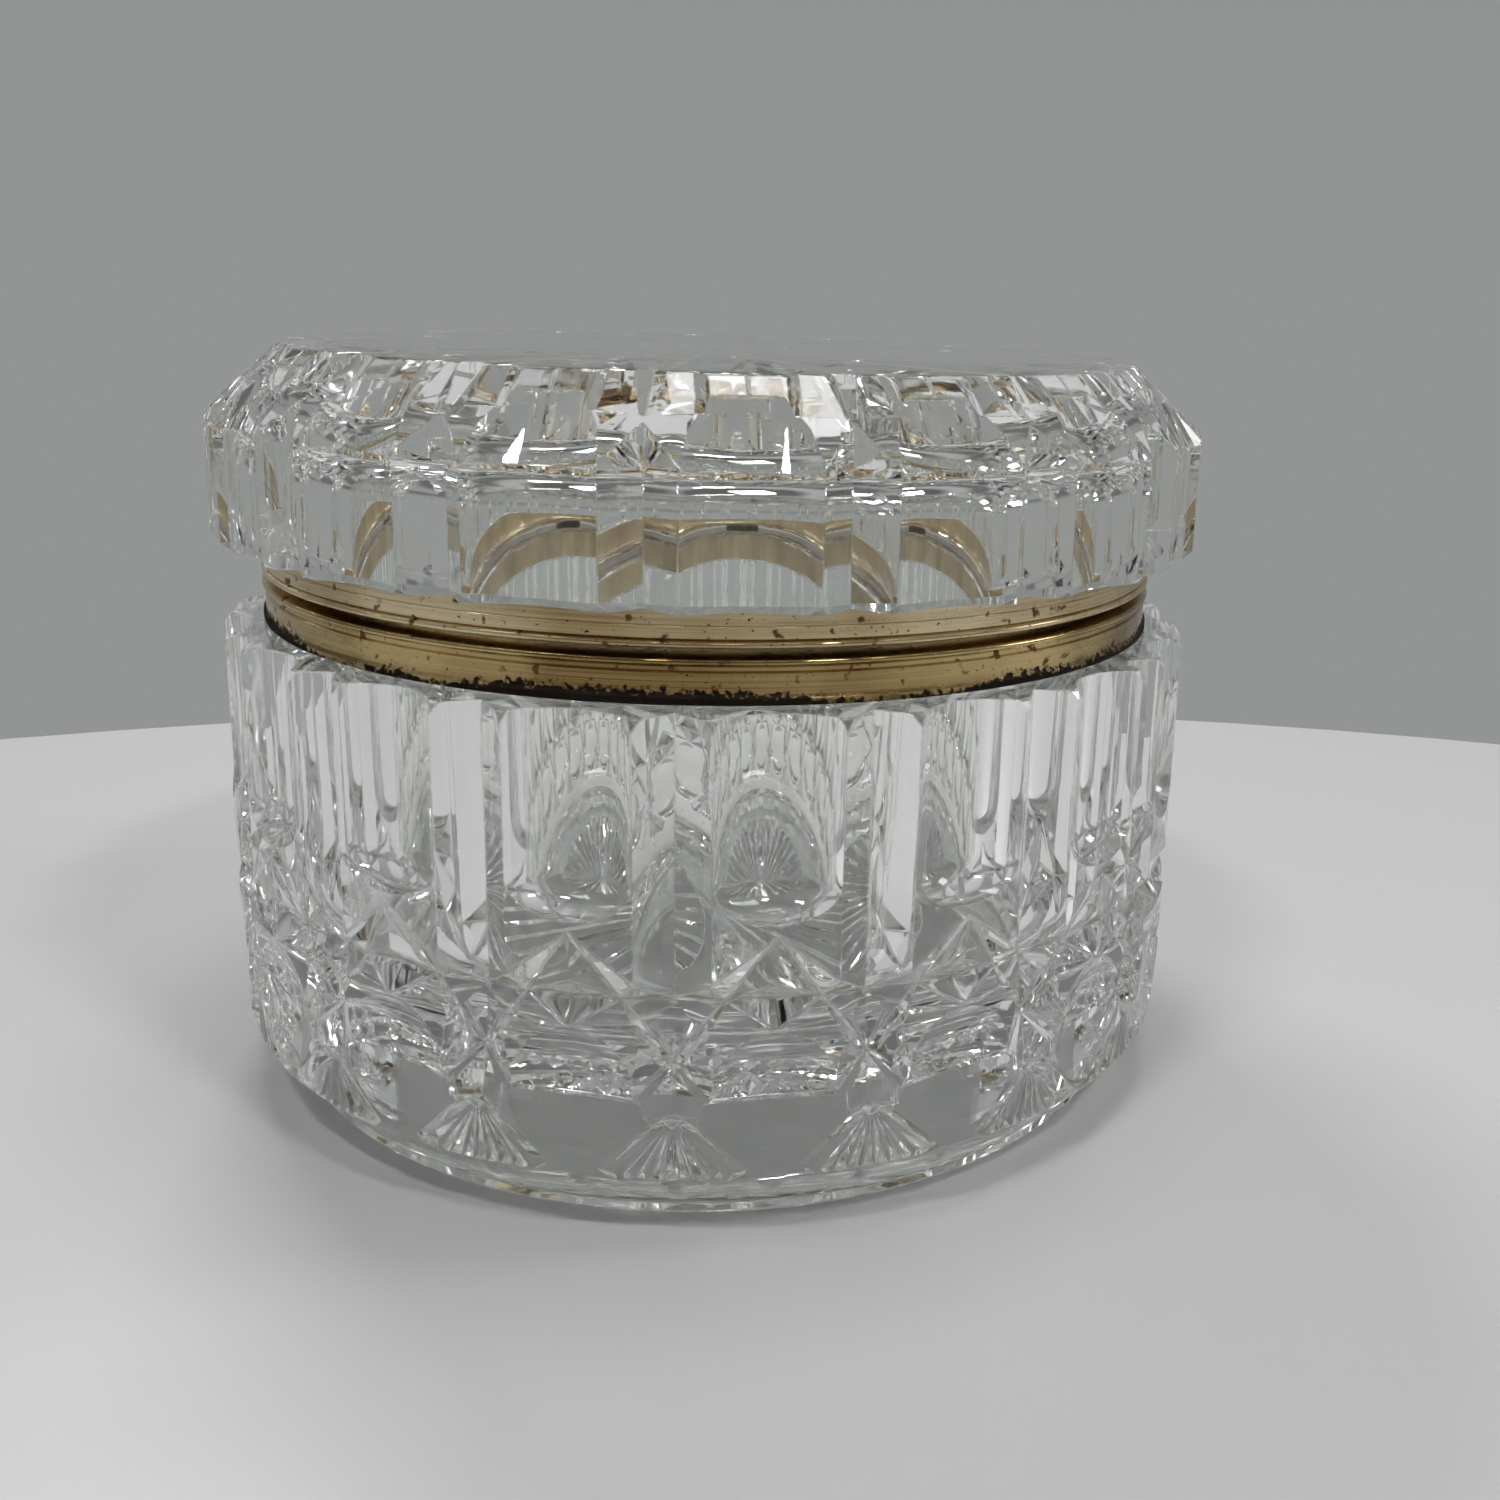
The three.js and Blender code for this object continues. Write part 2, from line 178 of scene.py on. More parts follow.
class StraightCut(NamedTuple):
    """A V-shaped cut between two corners, each given as (turn, height, radius)."""
    start: tuple
    end: tuple
    half_angle: float
    reach: float
    overrun: float = 0.0


def at(corner, azimuth, spread):
    """Place of a corner in the sector at an azimuth. Its turn is multiplied by spread: -1 mirrors it."""
    turn, height, radius = corner
    return polar(radius, azimuth + spread * turn, height)


def straight(shape, spread=1):
    """A function for cutter() that draws one straight cut."""
    def add_one(bm, azimuth):
        start = at(shape.start, azimuth, spread)
        end = at(shape.end, azimuth, spread)
        add_wedge(bm, start, end, shape.half_angle, shape.reach, shape.overrun)
    return add_one


def around(turn, offset=0.0):
    """Azimuths of one feature in each sector."""
    return [turn + offset + index * STEP for index in range(SECTORS)]


def cutter(name, turn, add_one, offset=0.0):
    """One object holding a cut in every sector. add_one(bm, azimuth) draws one of them."""
    bm = bmesh.new()
    for azimuth in around(turn, offset):
        add_one(bm, azimuth)
    return new_object(name, bm)


def cut(body, cutters):
    """Subtracts the cutters from the body one after another and removes them."""
    for tool in cutters:
        modifier = body.modifiers.new("cut", "BOOLEAN")
        modifier.operation = "DIFFERENCE"
        modifier.solver = "MANIFOLD"
        modifier.object = tool
    depsgraph = bpy.context.evaluated_depsgraph_get()
    mesh = bpy.data.meshes.new_from_object(body.evaluated_get(depsgraph))
    body.modifiers.clear()
    body.data = mesh
    for tool in cutters:
        bpy.data.objects.remove(tool)


GLASS_SHARP_ANGLE = 18


def smooth(obj, angle):
    """Smooth shading that keeps edges sharper than the angle crisp."""
    mesh = obj.data
    for polygon in mesh.polygons:
        polygon.use_smooth = True
    mesh.set_sharp_from_angle(angle=math.radians(angle))


# ---------------------------------------------------------------- bowl

# Corners of the zigzag band in one sector, from a groove (turn 0) to the middle of a flute, each
# as (turn, height, radius). Each has its mirror image on the other side of the groove.
GROOVE_MEET = (0, 27.8, 58.6)
GROOVE_EDGE = (3.7, 30.5, 62.05)
PEAK = (HALF, 35.8, 62.05)
CROSSING = (5.2, 28.1, 60.1)
PYRAMID_TIP = (HALF, 30.2, 61.5)
WAIST_MIDDLE = (HALF, 28.1, 59.8)
VALLEY = (0, 20.8, 59.2)
KITE_SIDE = (1.85, 25.5, 59.95)
WAIST_CORNER = (4.4, 28.1, 59.95)
WINDOW_TOP = (HALF, 25.3, 62.05)
WINDOW_SIDE = (3.4, 25.4, 60.2)
BAND_FACETS = [
    (GROOVE_MEET, GROOVE_EDGE, WAIST_CORNER),
    (GROOVE_EDGE, CROSSING, WAIST_CORNER),
    (GROOVE_EDGE, PEAK, CROSSING),
    (CROSSING, PEAK, PYRAMID_TIP),
    (CROSSING, PYRAMID_TIP, WAIST_MIDDLE),
    (CROSSING, WAIST_MIDDLE, WINDOW_TOP),
    (CROSSING, WINDOW_TOP, WINDOW_SIDE),
    (CROSSING, WINDOW_SIDE, KITE_SIDE),
    (CROSSING, KITE_SIDE, WAIST_CORNER),
    (GROOVE_MEET, WAIST_CORNER, KITE_SIDE),
    (GROOVE_MEET, KITE_SIDE, VALLEY),
    (KITE_SIDE, WINDOW_SIDE, VALLEY),
]
BAND_RIM = [PEAK, GROOVE_EDGE, GROOVE_MEET]
BAND_FOOT = [VALLEY, WINDOW_SIDE, WINDOW_TOP]
OUTSIDE_R = 66            # well outside the glass

COLUMN_END_Z = 15.0
COLUMN_SIDE_TOP = (3.0, 19.8, 61.2)
COLUMN_SIDE_FOOT = (2.6, COLUMN_END_Z, 61.6)
COLUMN_MIDDLE = (0.1, COLUMN_END_Z, 60.3)
FAN_CORNER = (6.9, 8.7, 61.5)
EDGE_LINES = [
    (PEAK, GROOVE_EDGE),
    (GROOVE_EDGE, GROOVE_MEET),
    (PEAK, CROSSING),
    (CROSSING, VALLEY),
    (GROOVE_EDGE, CROSSING),
    (CROSSING, PYRAMID_TIP),
    (WAIST_CORNER, CROSSING),
    (CROSSING, WAIST_MIDDLE),
    (CROSSING, WINDOW_TOP),
    (GROOVE_MEET, WAIST_CORNER),
    (KITE_SIDE, VALLEY),
    (COLUMN_SIDE_TOP, COLUMN_SIDE_FOOT),
    (COLUMN_MIDDLE, COLUMN_SIDE_FOOT),
    (COLUMN_MIDDLE, FAN_CORNER),
]
EDGE_LINE_DEPTH = 0.2
EDGE_LINE_HALF_ANGLE = 38
EDGE_LINE_REACH = 1.0

CUT_TOP_Z = SHOULDER_Z + 3       # the upright cuts run out above the shoulder
FLUTE_R = 8.5
FLUTE_FLOOR_R = 58.25
FLUTE_END_Z = 41
FLUTE_END_H = 5
LENS_BALL_R = 20
LENS_FLOOR_R = 60.2
LENS_Z = 17
LENS_CAP = 3.2            # height of the part of the ball that makes the tool
GLINT_R = 1.3
GLINT_PLACE_R = 59.75
GLINT_Z = 5.1
STAR_R = 30
STAR_DEPTH = 1.5
STAR_CORE_R = 0.5         # where the tips of the rays stop short of the axis
STAR_SINK = 0.01          # lowers the corners of the tools a hair out of the glass

FAN_RAYS = 7
FAN_SPREAD = 4.6
FAN_FOOT_Z = 7.9
GROOVE = StraightCut((0, 27.6, 58.4), (0, CUT_TOP_Z, 58.4), 50, 6)
MITRE = StraightCut((-0.2, 21.1, 59.15), (3.6, 17.3, 61.3), 62, 4)
COLUMN = StraightCut((0, 20.6, 59.5), (0, COLUMN_END_Z, 60.2), 60, 4)
COLUMN_LINE = StraightCut((0, 20.9, 59.3), (0, COLUMN_END_Z, 60.5), 30, 4)
FAN_SIDE = StraightCut((0.5, COLUMN_END_Z - 0.2, 61.3), (6.0, FAN_FOOT_Z, 60.2), 60, 4)
FAN_RAY = StraightCut((0.1, COLUMN_END_Z - 0.6, 61.2), (1, FAN_FOOT_Z, 59.7), 27, 4)


def band_cutter():
    """Cuts every facet of the zigzag band: the facets inside, a plain wall outside the glass."""
    bm = bmesh.new()
    verts = {}

    def corner(point, azimuth, side, outer):
        radius = OUTSIDE_R if outer else point[2]
        angle = azimuth + side * point[0]
        key = (round(angle % 360, 3) % 360, outer, point)
        if key not in verts:
            verts[key] = bm.verts.new(polar(radius, angle, point[1]))
        return verts[key]

    for azimuth in around(BASE_TURN):
        for side in (-1, 1):
            for facet in BAND_FACETS:
                for outer in (False, True):
                    bm.faces.new([corner(point, azimuth, side, outer) for point in facet])
            for edge_line in (BAND_RIM, BAND_FOOT):
                for first, second in zip(edge_line, edge_line[1:]):
                    bm.faces.new([
                        corner(first, azimuth, side, False), corner(second, azimuth, side, False),
                        corner(second, azimuth, side, True), corner(first, azimuth, side, True)])
    return new_object("band_cutter", bm)


def bowl_outline():
    """Half section of the uncut bowl, from the recess under the floor round to the inside."""
    neck_top = SEAM_Z - NECK_SETBACK
    corner_z = FLOOR_Z + INNER_CORNER
    return [
        (0, PUNT_Z), (PUNT_R - 0.6, PUNT_Z), (PUNT_R, PUNT_Z - 0.6),
        (PUNT_R + 1.2, 0.6), (PUNT_R + 1.8, 0),
        (FOOT_R - 0.2, 0), (FOOT_R + 0.3, 0.2), (FOOT_R + 0.6, 0.6),
        (FOOT_R + 0.6, 1.5), (FOOT_R + 0.8, 1.9),
        (BODY_R - 0.55, 8.2), (BODY_R - 0.4, 8.6), (BODY_R, 16),
        (BODY_R, SHOULDER_Z - 1.3), (BODY_R - 0.7, SHOULDER_Z - 0.15), (BODY_R - 1.1, SHOULDER_Z),
        (NECK_R, SHOULDER_Z), (NECK_R, neck_top - 0.3), (NECK_R - 0.3, neck_top),
        (BORE_R + 0.9, neck_top), (BORE_R + 0.5, neck_top - 0.4),
        *arc(BORE_R - INNER_CORNER, corner_z, INNER_CORNER, 0, -90, CORNER_STEPS),
        (0, FLOOR_Z),
    ]


def add_flute(bm, azimuth):
    """One wide hollow flute: an upright bar that ends below in a flattened dome."""
    flattening = FLUTE_END_H / FLUTE_R
    outline = []
    for radius, level in arc(0, 0, FLUTE_R, -90, 0, CORNER_STEPS):
        outline.append((radius, FLUTE_END_Z + level * flattening))
    outline += [(FLUTE_R, CUT_TOP_Z), (0, CUT_TOP_Z)]
    centre = polar(FLUTE_FLOOR_R + FLUTE_R, azimuth, 0)
    add_revolved(bm, outline, FLUTE_SEGMENTS, place=Matrix.Translation(centre))


def add_lens(bm, azimuth):
    """One shallow round hollow, the cap of a large ball."""
    half = math.degrees(math.acos(1 - LENS_CAP / LENS_BALL_R))
    outline = [(0, -LENS_BALL_R)]
    outline += arc(0, 0, LENS_BALL_R, -89.5, half - 90, 24)
    outline.append((0, -LENS_BALL_R * math.cos(math.radians(half))))
    turn = Matrix.Rotation(math.radians(azimuth - 90), 4, "Z") @ Matrix.Rotation(math.radians(90), 4, "Y")
    centre = polar(LENS_FLOOR_R + LENS_BALL_R, azimuth, LENS_Z)
    add_revolved(bm, outline, FLUTE_SEGMENTS, place=Matrix.Translation(centre) @ turn)


def add_glint(bm, azimuth):
    """Two small round dimples on the slope above the foot."""
    for offset in (0, HALF):
        outline = [(0, -GLINT_R), *arc(0, 0, GLINT_R, -75, 75, 8), (0, GLINT_R)]
        centre = polar(GLINT_PLACE_R, azimuth + offset, GLINT_Z)
        add_revolved(bm, outline, GLINT_SEGMENTS, place=Matrix.Translation(centre))


def add_star_ray(bm, azimuth):
    """Two rays of the star cut under the floor, each a shallow groove of even slope."""
    for offset in (0, HALF):
        tip = polar(STAR_CORE_R, azimuth + offset, PUNT_Z)
        left = polar(STAR_R, azimuth + offset - HALF / 2, PUNT_Z - STAR_SINK)
        right = polar(STAR_R, azimuth + offset + HALF / 2, PUNT_Z - STAR_SINK)
        ridge = polar(STAR_R + 0.1, azimuth + offset, PUNT_Z + STAR_DEPTH)
        add_solid(bm, [tip, left, right, ridge], [(0, 1, 2), (0, 3, 1), (0, 2, 3), (1, 3, 2)])


def lowered(corner):
    """The corner, moved into the glass by the depth of an edge line."""
    turn, height, radius = corner
    return turn, height, radius - EDGE_LINE_DEPTH


def edge_line_cutters():
    """Hair-thin grooves that outline the edges of the zigzag band, the columns and the fans."""
    tools = []
    for index, (first, second) in enumerate(EDGE_LINES):
        line = StraightCut(lowered(first), lowered(second), EDGE_LINE_HALF_ANGLE, EDGE_LINE_REACH)
        for side in (-1, 1):
            tools.append(cutter(f"edge_line_{index}_{side}", BASE_TURN, straight(line, side)))
    return tools


def make_bowl():
    body = revolved("cut_bowl", bowl_outline())
    tools = [
        cutter("flutes", BASE_TURN, add_flute, HALF),
        cutter("grooves", BASE_TURN, straight(GROOVE)),
        band_cutter(),
        cutter("lenses", BASE_TURN, add_lens, HALF),
        cutter("mitre_left", BASE_TURN, straight(MITRE, -1)),
        cutter("mitre_right", BASE_TURN, straight(MITRE)),
        cutter("columns", BASE_TURN, straight(COLUMN)),
        cutter("column_lines", BASE_TURN, straight(COLUMN_LINE)),
        cutter("fan_side_left", BASE_TURN, straight(FAN_SIDE, -1)),
        cutter("fan_side_right", BASE_TURN, straight(FAN_SIDE)),
        cutter("glints", BASE_TURN, add_glint),
        cutter("star", BASE_TURN, add_star_ray),
    ]
    for index in range(FAN_RAYS):
        lean = FAN_SPREAD * (2 * index / (FAN_RAYS - 1) - 1)
        tools.append(cutter(f"fan_{index}", BASE_TURN, straight(FAN_RAY, lean)))
    tools += edge_line_cutters()
    cut(body, tools)
    smooth(body, GLASS_SHARP_ANGLE)
    return body


# ---------------------------------------------------------------- lid

LID_FLUTE_R = 13.8
LID_FLUTE_FLOOR_R = 60.1
LID_WALL_TOP = 82.8              # where the upright wall turns into the domed shoulder
DOME_TOP = (0, 88.2, 56.2)
DOME_OVERRUN = 1.5
LID_GROOVE = StraightCut((0, 60, 58.7), (0, HEIGHT + 2, 58.7), 47, 5.5)
# The V-shaped notch that carries each narrow groove on to the top edge.
TOP_NOTCH = StraightCut((0, 87.6, 57.3), (0, 91.4, 51.6), 50, 7, 0.3)
# One of the two flat facets that meet in a ridge above the middle of each wide flute.
TOP_FACET = StraightCut((5.2, 87.9, 57.2), (5.6, HEIGHT + 0.2, 53.0), 80, 2.5, 0.2)
# The hair-thin groove along that ridge.
TOP_RIDGE_LINE = StraightCut((0, 88.2, 57.2), (0, HEIGHT - 0.3, 53.5), 40, 2)


def lid_outline():
    """Half section of the uncut lid, from the inside round to the top."""
    neck_bottom = SEAM_Z + NECK_SETBACK
    corner_z = ROOF_Z - LID_CORNER
    return [
        (0, ROOF_Z),
        *arc(BORE_R - LID_CORNER, corner_z, LID_CORNER, 90, 0, CORNER_STEPS),
        (BORE_R + 0.5, neck_bottom + 0.4), (BORE_R + 0.9, neck_bottom),
        (NECK_R - 0.3, neck_bottom), (NECK_R, neck_bottom + 0.3),
        (NECK_R, LID_BOTTOM_Z), (LID_R - 0.9, LID_BOTTOM_Z), (LID_R, LID_BOTTOM_Z + 0.9),
        (LID_R, 83), (LID_R - 0.1, 83.6), (LID_R - 1.2, 84.7), (59.2, 86.7), (56.5, 89),
        (54, 91.4), (53.5, 91.7), (53, HEIGHT), (0, HEIGHT),
    ]


def add_bar(bm, start, end, radius, overrun):
    """A round bar whose inner side touches the line from start to end."""
    matrix = wedge_matrix(start, end)
    length = (end - start).length
    outline = [(0, -overrun), (radius, -overrun), (radius, length + overrun), (0, length + overrun)]
    centre = matrix @ Matrix.Translation((radius, 0, 0))
    add_revolved(bm, outline, LID_FLUTE_SEGMENTS, place=centre)


def add_lid_flute(bm, azimuth):
    """One wide flute up the wall of the lid."""
    foot = polar(LID_FLUTE_FLOOR_R, azimuth, LID_BOTTOM_Z - 3)
    add_bar(bm, foot, polar(LID_FLUTE_FLOOR_R, azimuth, LID_WALL_TOP), LID_FLUTE_R, 0)


def add_lid_dome(bm, azimuth):
    """The same flute carried on over the domed shoulder."""
    foot = polar(LID_FLUTE_FLOOR_R, azimuth, LID_WALL_TOP)
    add_bar(bm, foot, at(DOME_TOP, azimuth, 1), LID_FLUTE_R, DOME_OVERRUN)


def make_lid():
    body = revolved("cut_lid", lid_outline())
    tools = [
        cutter("lid_flutes", LID_TURN, add_lid_flute, HALF),
        cutter("lid_domes", LID_TURN, add_lid_dome, HALF),
        cutter("lid_grooves", LID_TURN, straight(LID_GROOVE)),
        cutter("top_notches", LID_TURN, straight(TOP_NOTCH)),
        cutter("top_facets_left", LID_TURN, straight(TOP_FACET, -1), HALF),
        cutter("top_facets_right", LID_TURN, straight(TOP_FACET), HALF),
        cutter("top_ridge_lines", LID_TURN, straight(TOP_RIDGE_LINE), HALF),
    ]
    cut(body, tools)
    smooth(body, GLASS_SHARP_ANGLE)
    return body


# ---------------------------------------------------------------- collars

COLLAR_SHARP_ANGLE = 35


def base_collar_outline():
    """Foot flange, main face, groove and rolled bead, then in across the top to the lip."""
    foot = SHOULDER_Z + COLLAR_GAP
    top = SEAM_Z - SEAM_GAP
    inner = COLLAR_R - COLLAR_THICK
    return [
        (inner, foot), (COLLAR_R + 0.15, foot), (COLLAR_R + 0.27, foot + 0.15),
        (COLLAR_R + 0.27, foot + 0.75), (COLLAR_R + 0.1, foot + 0.95), (COLLAR_R - 0.06, foot + 1.1),
        (COLLAR_R - 0.06, top - 1.55), (COLLAR_R - 0.3, top - 1.35), (COLLAR_R - 0.3, top - 0.95),
        *arc(COLLAR_R - 0.08, top - 0.42, 0.34, -70, 70, 8),
        (COLLAR_R - 0.15, top), (LIP_R, top), (LIP_R, top - 0.25), (inner, top - 0.25),
    ]


def lid_collar_outline():
    """Rolled bead over the seam, fillet, and a plain band that runs up under the crystal."""
    bottom = SEAM_Z + SEAM_GAP
    top = LID_BOTTOM_Z - COLLAR_GAP
    inner = COLLAR_R - COLLAR_THICK
    return [
        (LIP_R, bottom), (COLLAR_R - 0.15, bottom),
        *arc(COLLAR_R - 0.1, bottom + 0.36, 0.34, -70, 60, 8),
        (COLLAR_R - 0.35, bottom + 0.8), (COLLAR_R - 0.06, bottom + 1.0),
        (COLLAR_R - 0.04, bottom + 2.2), (COLLAR_R - 0.12, bottom + 2.3), (COLLAR_R - 0.04, bottom + 2.4),
        (COLLAR_R - 0.06, top), (inner, top), (inner, bottom + 0.25), (LIP_R, bottom + 0.25),
    ]


# ---------------------------------------------------------------- materials

def material(name):
    made = bpy.data.materials.new(name)
    made.use_nodes = True
    nodes = made.node_tree.nodes
    return made, nodes, made.node_tree.links, nodes["Principled BSDF"]


def scaled_position(nodes, links, scale, turn):
    """The object's own coordinates, stretched per axis and turned by the same angle about each."""
    coordinate = nodes.new("ShaderNodeTexCoord")
    mapping = nodes.new("ShaderNodeMapping")
    mapping.inputs["Scale"].default_value = scale
    mapping.inputs["Rotation"].default_value = (turn, turn, turn)
    links.new(coordinate.outputs["Object"], mapping.inputs["Vector"])
    return mapping.outputs["Vector"]


def noise(nodes, links, scale, detail=3.0, stretch=(1, 1, 1), turn=0.0):
    made = nodes.new("ShaderNodeTexNoise")
    made.inputs["Scale"].default_value = scale
    made.inputs["Detail"].default_value = detail
    links.new(scaled_position(nodes, links, stretch, turn), made.inputs["Vector"])
    return made.outputs["Fac"]


def remap(nodes, links, value, from_low, from_high, to_low=0.0, to_high=1.0):
    made = nodes.new("ShaderNodeMapRange")
    for name, number in (("From Min", from_low), ("From Max", from_high),
                         ("To Min", to_low), ("To Max", to_high)):
        made.inputs[name].default_value = number
    links.new(value, made.inputs["Value"])
    return made.outputs["Result"]


def combine(nodes, links, operation, first, second, clamp=True):
    """Adds or multiplies two values, each a socket or a number."""
    made = nodes.new("ShaderNodeMath")
    made.operation = operation
    made.use_clamp = clamp
    for socket, value in zip(made.inputs, (first, second)):
        if isinstance(value, (int, float)):
            socket.default_value = value
        else:
            links.new(value, socket)
    return made.outputs["Value"]


def blend(nodes, links, factor, first, second):
    """Mixes two colours, each a socket or an (r, g, b) triple."""
    made = nodes.new("ShaderNodeMix")
    made.data_type = "RGBA"
    links.new(factor, made.inputs["Factor"])
    for socket, value in ((made.inputs[6], first), (made.inputs[7], second)):
        if isinstance(value, tuple):
            socket.default_value = (*value, 1)
        else:
            links.new(value, socket)
    return made.outputs[2]


def bump(nodes, links, height, distance, strength=1.0):
    made = nodes.new("ShaderNodeBump")
    made.inputs["Distance"].default_value = distance * MM
    made.inputs["Strength"].default_value = strength
    links.new(height, made.inputs["Height"])
    return made.outputs["Normal"]


def rounded_edges(nodes, links, shader, normal, radius):
    """Shades the edges as if they were rounded, on top of a bumped normal."""
    made = nodes.new("ShaderNodeBevel")
    made.samples = 4
    made.inputs["Radius"].default_value = radius * MM
    links.new(normal, made.inputs["Normal"])
    links.new(made.outputs["Normal"], shader.inputs["Normal"])


def crystal_material(name, turn):
    """Lead crystal: clear, faintly grey, with fine waves, rounded edges and traces of handling."""
    made, nodes, links, shader = material(name)
    tint = noise(nodes, links, 18, 2, turn=turn)
    links.new(blend(nodes, links, tint, (0.955, 0.968, 0.955), (0.985, 0.99, 0.98)),
              shader.inputs["Base Color"])
    shader.inputs["IOR"].default_value = 1.54
    shader.inputs["Transmission Weight"].default_value = 1
    smear = remap(nodes, links, noise(nodes, links, 60, 4, turn=turn), 0.58, 0.75, 0.0, 0.035)
    links.new(smear, shader.inputs["Roughness"])
    waves = bump(nodes, links, noise(nodes, links, 220, 2, turn=turn), 0.02, 0.5)
    rounded_edges(nodes, links, shader, waves, EDGE_ROUND)
    return made


TARNISH_TURN = 0.9                   # picks where along the ring the tarnish is thick
COPPER_WEAR_AND_PAINTED_REFLECTION = (0.42, 0.2, 0.08)           # where the gilding wears through to the red metal under it; also a painted orange reflection of the room
BROWN_SPOT = (0.16, 0.08, 0.03)
DARK_PIT = (0.05, 0.03, 0.015)
BROWN_FILM = (0.2, 0.11, 0.045)
BLACK_TARNISH = (0.012, 0.007, 0.004)
HINGE_DIRT = (0.06, 0.035, 0.02)


def gilt_material(name, light, dark, tarnish_low, tarnish_high, gloss):
    """Worn gilt, brushed round the ring, with brown spots and black tarnish between two levels; its broad
    light, dark and copper-coloured patches are partly painted reflection of the room.
    """
    made, nodes, links, shader = material(name)
    brushed = noise(nodes, links, 1, 3, stretch=(30, 30, 6000))
    # Painted reflection: the broad patches between the dark and light colours stand in for the room's dark
    # and light reflections in the gilt.
    broad = noise(nodes, links, 40, 3)
    brushed_tone_and_painted_reflection = combine(nodes, links, "ADD", remap(nodes, links, brushed, 0.35, 0.62, 0, 0.3),
                   remap(nodes, links, broad, 0.38, 0.62, 0, 0.7))
    colour = blend(nodes, links, brushed_tone_and_painted_reflection, dark, light)
    # Partly painted reflection: copper-coloured patches where the gilding wears through, which also stand
    # in for the room's orange reflections in the gilt.
    wear_and_painted_reflection = remap(nodes, links, noise(nodes, links, 26, 2, turn=0.6), 0.62, 0.78, 0, 0.6)
    colour = blend(nodes, links, wear_and_painted_reflection, colour, COPPER_WEAR_AND_PAINTED_REFLECTION)
    spots = remap(nodes, links, noise(nodes, links, 520, 2), 0.64, 0.7)
    colour = blend(nodes, links, spots, colour, BROWN_SPOT)
    pits = remap(nodes, links, noise(nodes, links, 2200, 1), 0.7, 0.76)
    colour = blend(nodes, links, pits, colour, DARK_PIT)
    coordinate = nodes.new("ShaderNodeTexCoord")
    split = nodes.new("ShaderNodeSeparateXYZ")
    links.new(coordinate.outputs["Object"], split.inputs[0])
    level = remap(nodes, links, split.outputs["Z"], tarnish_high * MM, tarnish_low * MM)
    film = combine(nodes, links, "MULTIPLY", level, 0.45)
    colour = blend(nodes, links, film, colour, BROWN_FILM)
    patch = remap(nodes, links, noise(nodes, links, 40, 5, turn=TARNISH_TURN), 0.38, 0.6, -0.2, 0.5)
    grain = remap(nodes, links, noise(nodes, links, 1500, 4), 0.35, 0.65, -0.25, 0.25)
    ragged = combine(nodes, links, "ADD", patch, grain, clamp=False)
    edge = combine(nodes, links, "ADD", level, ragged, clamp=False)
    tarnish = remap(nodes, links, edge, 0.8, 1.0)
    colour = blend(nodes, links, tarnish, colour, BLACK_TARNISH)
    links.new(colour, shader.inputs["Base Color"])
    links.new(remap(nodes, links, tarnish, 0, 1, 1, 0.1), shader.inputs["Metallic"])
    rough = combine(nodes, links, "ADD", remap(nodes, links, brushed, 0.3, 0.7, gloss, gloss + 0.12),
                    remap(nodes, links, tarnish, 0, 1, 0, 0.5))
    rough = combine(nodes, links, "ADD", rough, remap(nodes, links, spots, 0, 1, 0, 0.25))
    links.new(rough, shader.inputs["Roughness"])
    shader.inputs["Specular IOR Level"].default_value = 0.15
    relief = combine(nodes, links, "ADD", remap(nodes, links, brushed, 0, 1, 0, 0.12),
                     remap(nodes, links, grain, -0.25, 0.25, 0, 0.3))
    links.new(bump(nodes, links, relief, 0.03, 0.6), shader.inputs["Normal"])
    return made


def hinge_material(name, light, dark):
    """Dull gilt brass with scratches, darker where dirt gathers."""
    made, nodes, links, shader = material(name)
    broad = noise(nodes, links, 250, 4)
    scratches = noise(nodes, links, 1, 3, stretch=(200, 4000, 900))
    colour = blend(nodes, links, remap(nodes, links, broad, 0.35, 0.65), dark, light)
    dirt = remap(nodes, links, noise(nodes, links, 1100, 4), 0.6, 0.75)
    links.new(blend(nodes, links, dirt, colour, HINGE_DIRT), shader.inputs["Base Color"])
    shader.inputs["Metallic"].default_value = 1
    links.new(remap(nodes, links, scratches, 0.3, 0.7, 0.28, 0.5), shader.inputs["Roughness"])
    rounded_edges(nodes, links, shader, bump(nodes, links, scratches, 0.02, 0.6), HINGE_EDGE_ROUND)
    return made


def cement_material():
    """Golden-brown setting cement with a dull metallic lustre, slightly stained and pitted."""
    made, nodes, links, shader = material("golden_cement")
    stain = remap(nodes, links, noise(nodes, links, 90, 4), 0.35, 0.7)
    links.new(blend(nodes, links, stain, (0.95, 0.75, 0.42), (0.72, 0.52, 0.26)),
              shader.inputs["Base Color"])
    shader.inputs["Metallic"].default_value = 0.7
    links.new(remap(nodes, links, stain, 0, 1, 0.3, 0.5), shader.inputs["Roughness"])
    links.new(bump(nodes, links, noise(nodes, links, 1800, 4), 0.03), shader.inputs["Normal"])
    return made


# ---------------------------------------------------------------- assembly

def dress(obj, skin):
    obj.data.materials.clear()
    obj.data.materials.append(skin)


def mount(obj, skin, body, node):
    """Gives a modelled piece its material, its body, and the CAD node it is shown for."""
    dress(obj, skin)
    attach(obj, body)
    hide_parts(node)


def make_collar(name, outline):
    collar = revolved(name, outline, closed=True)
    smooth(collar, COLLAR_SHARP_ANGLE)
    return collar


